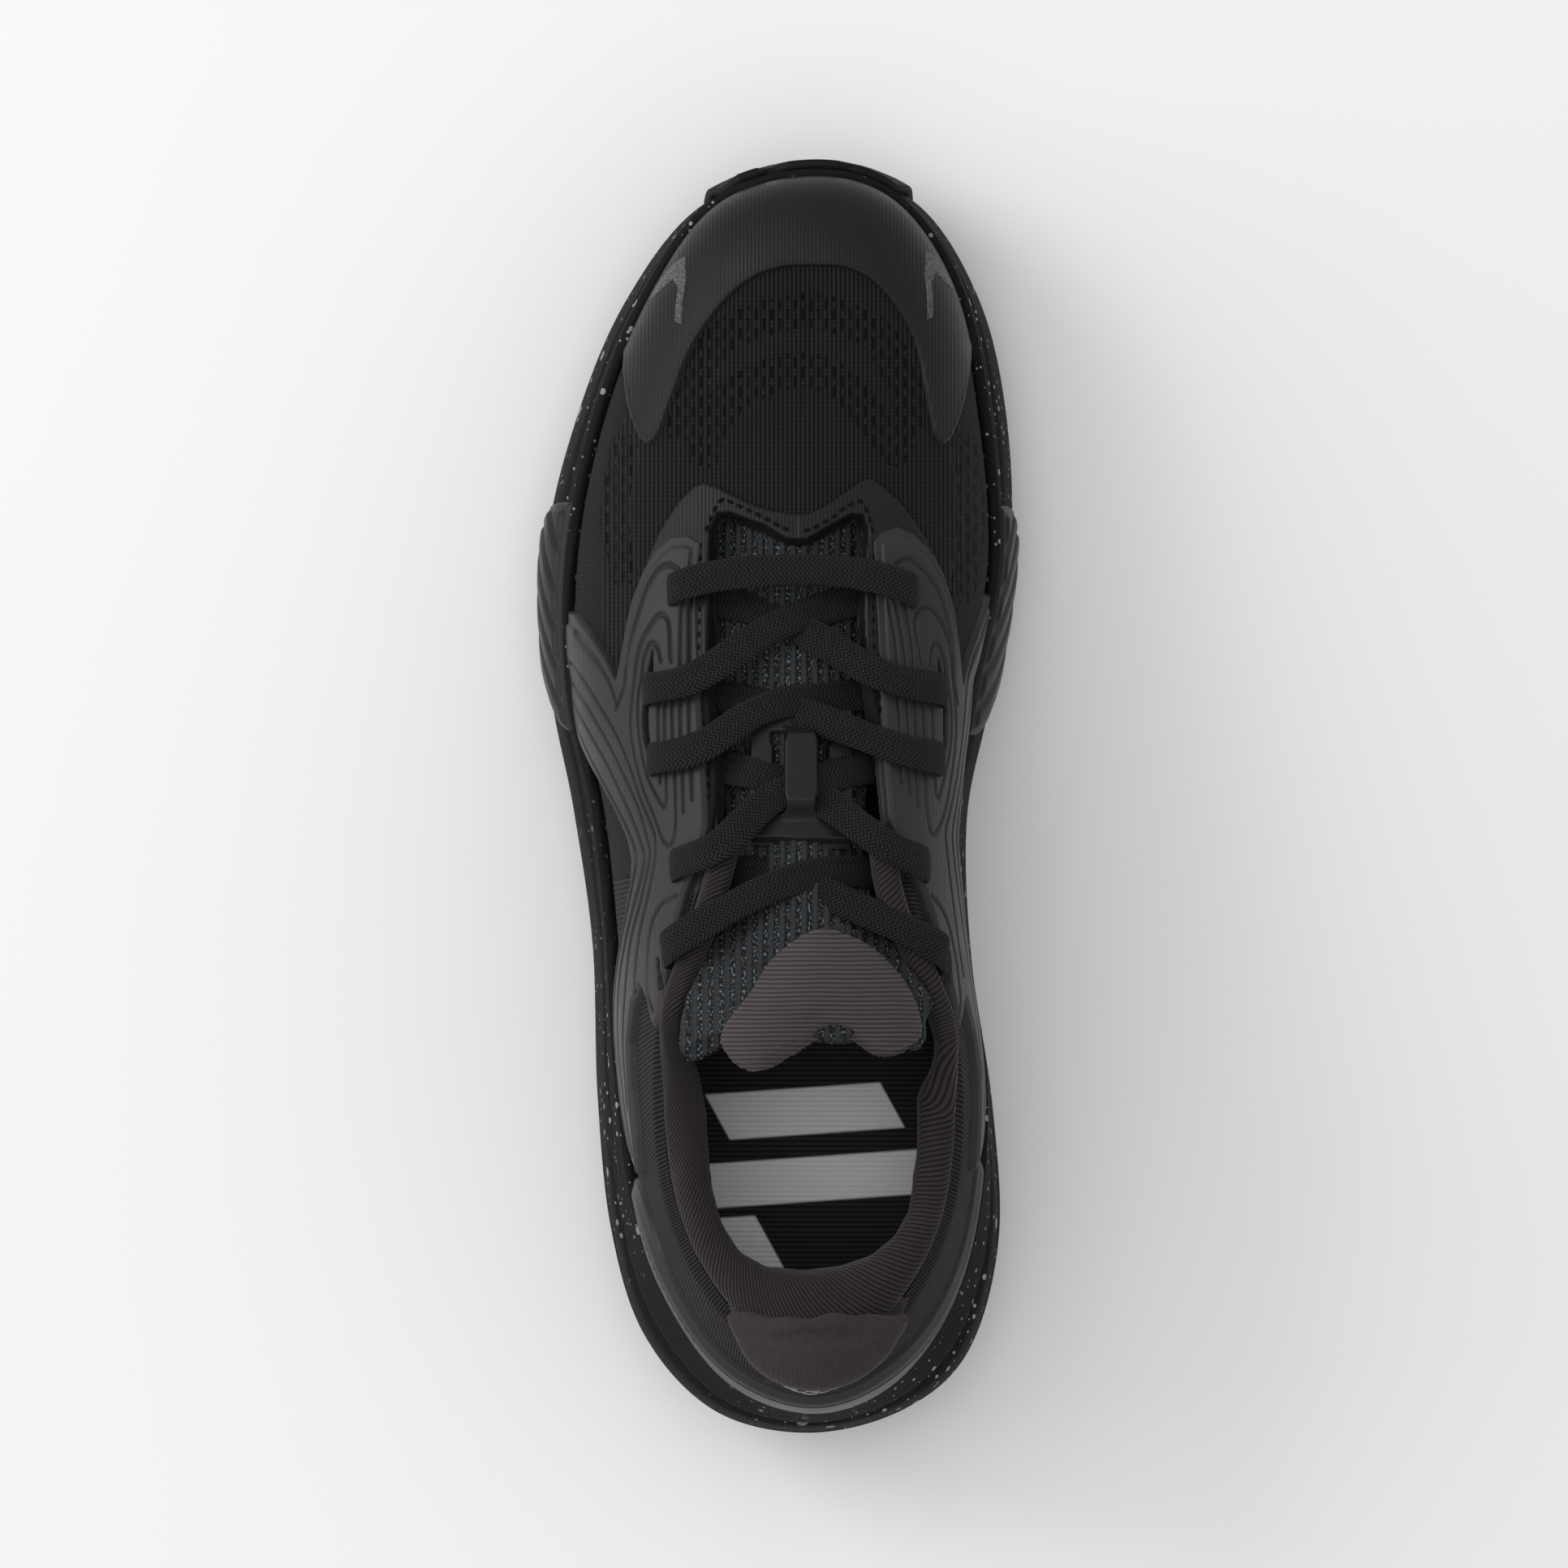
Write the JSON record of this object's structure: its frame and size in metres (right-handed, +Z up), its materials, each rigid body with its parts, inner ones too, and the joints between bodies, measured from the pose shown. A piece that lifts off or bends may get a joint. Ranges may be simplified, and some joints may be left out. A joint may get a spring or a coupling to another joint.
{
  "type": "running shoe",
  "caption": "Low-cut laced running shoe for the left foot: thick foam sole, knitted mesh upper, moulded eyestays, padded collar and tongue, flat lace, lift-out insole.",
  "frame": {"origin": "on the ground under the middle of the shoe's bounding box", "axes": "+Y from heel to toe, +Z up, +X towards the inner (medial) side of the left foot"},
  "size_m": [0.1153, 0.3025, 0.1133],
  "materials": {
    "foam": "matte foam with fine striations and pale specks",
    "tread": "matte tread rubber",
    "saddle": "satin ribbed moulding",
    "board": "non-woven board",
    "mesh": "black engineered knit",
    "quarter": "brownish black knit",
    "lining": "smooth knit lining",
    "stiffener": "thermoplastic sheet",
    "film": "satin welded film",
    "reflector": "glittering grey film",
    "eyestay": "satin moulding with grooves",
    "tape": "woven reinforcement",
    "clip": "satin moulding",
    "soft_foam": "open cell foam",
    "collar": "mauve grey twill knit",
    "patch": "brushed mauve grey knit",
    "label": "woven label",
    "tongue": "spacer mesh with shiny flecks",
    "keeper": "smooth satin moulding",
    "lace": "flat herringbone weave",
    "tip": "clear black sleeve",
    "insole": "moulded foam",
    "insole_cloth": "ribbed cloth with black and white blocks"
  },
  "bodies": {
    "shoe": {"midsole_foam": "foam", "outsole_toe": "tread", "outsole_forefoot_lateral": "tread", "outsole_forefoot_medial": "tread", "outsole_heel_lateral": "tread", "outsole_heel_medial": "tread", "outsole_heel_edge": "tread", "saddle_lateral": "saddle", "saddle_medial": "saddle", "strobel_board": "board", "vamp_mesh": "mesh", "vamp_lining": "lining", "toe_puff": "stiffener", "toe_cap_film": "film", "toe_reflectors": "reflector", "throat_film": "film", "quarter_mesh_lateral": "quarter", "quarter_mesh_medial": "quarter", "heel_counter": "stiffener", "heel_clip": "clip", "eyestay_lateral": "eyestay", "eyestay_medial": "eyestay", "eyestay_tape_lateral": "tape", "eyestay_tape_medial": "tape", "collar_foam": "soft_foam", "collar_lining": "collar", "heel_patch": "patch", "heel_label": "label", "tongue_cover": "tongue", "tongue_foam": "soft_foam", "lace_keeper": "keeper", "lace": "lace", "lace_tips": "tip"},
    "tongue_top": {"tongue_top_cover": "tongue", "tongue_top_foam": "soft_foam", "tongue_top_patch": "patch"},
    "insole": {"insole_foam": "insole", "insole_cloth": "insole_cloth"}
  },
  "joints": [
    {"name": "tongue_top_flex", "type": "hinge", "parent": "shoe", "child": "tongue_top", "pos_m": [0.0043, -0.0389, 0.1027], "axis": [-1, 0, 0], "range_deg": [-5, 20], "stiffness_Nm_per_rad": 0.1},
    {"name": "insole_lift", "type": "hinge", "parent": "shoe", "child": "insole", "pos_m": [0.008, 0.138, 0.03], "axis": [-1, 0, 0], "range_deg": [0, 4]}
  ]
}
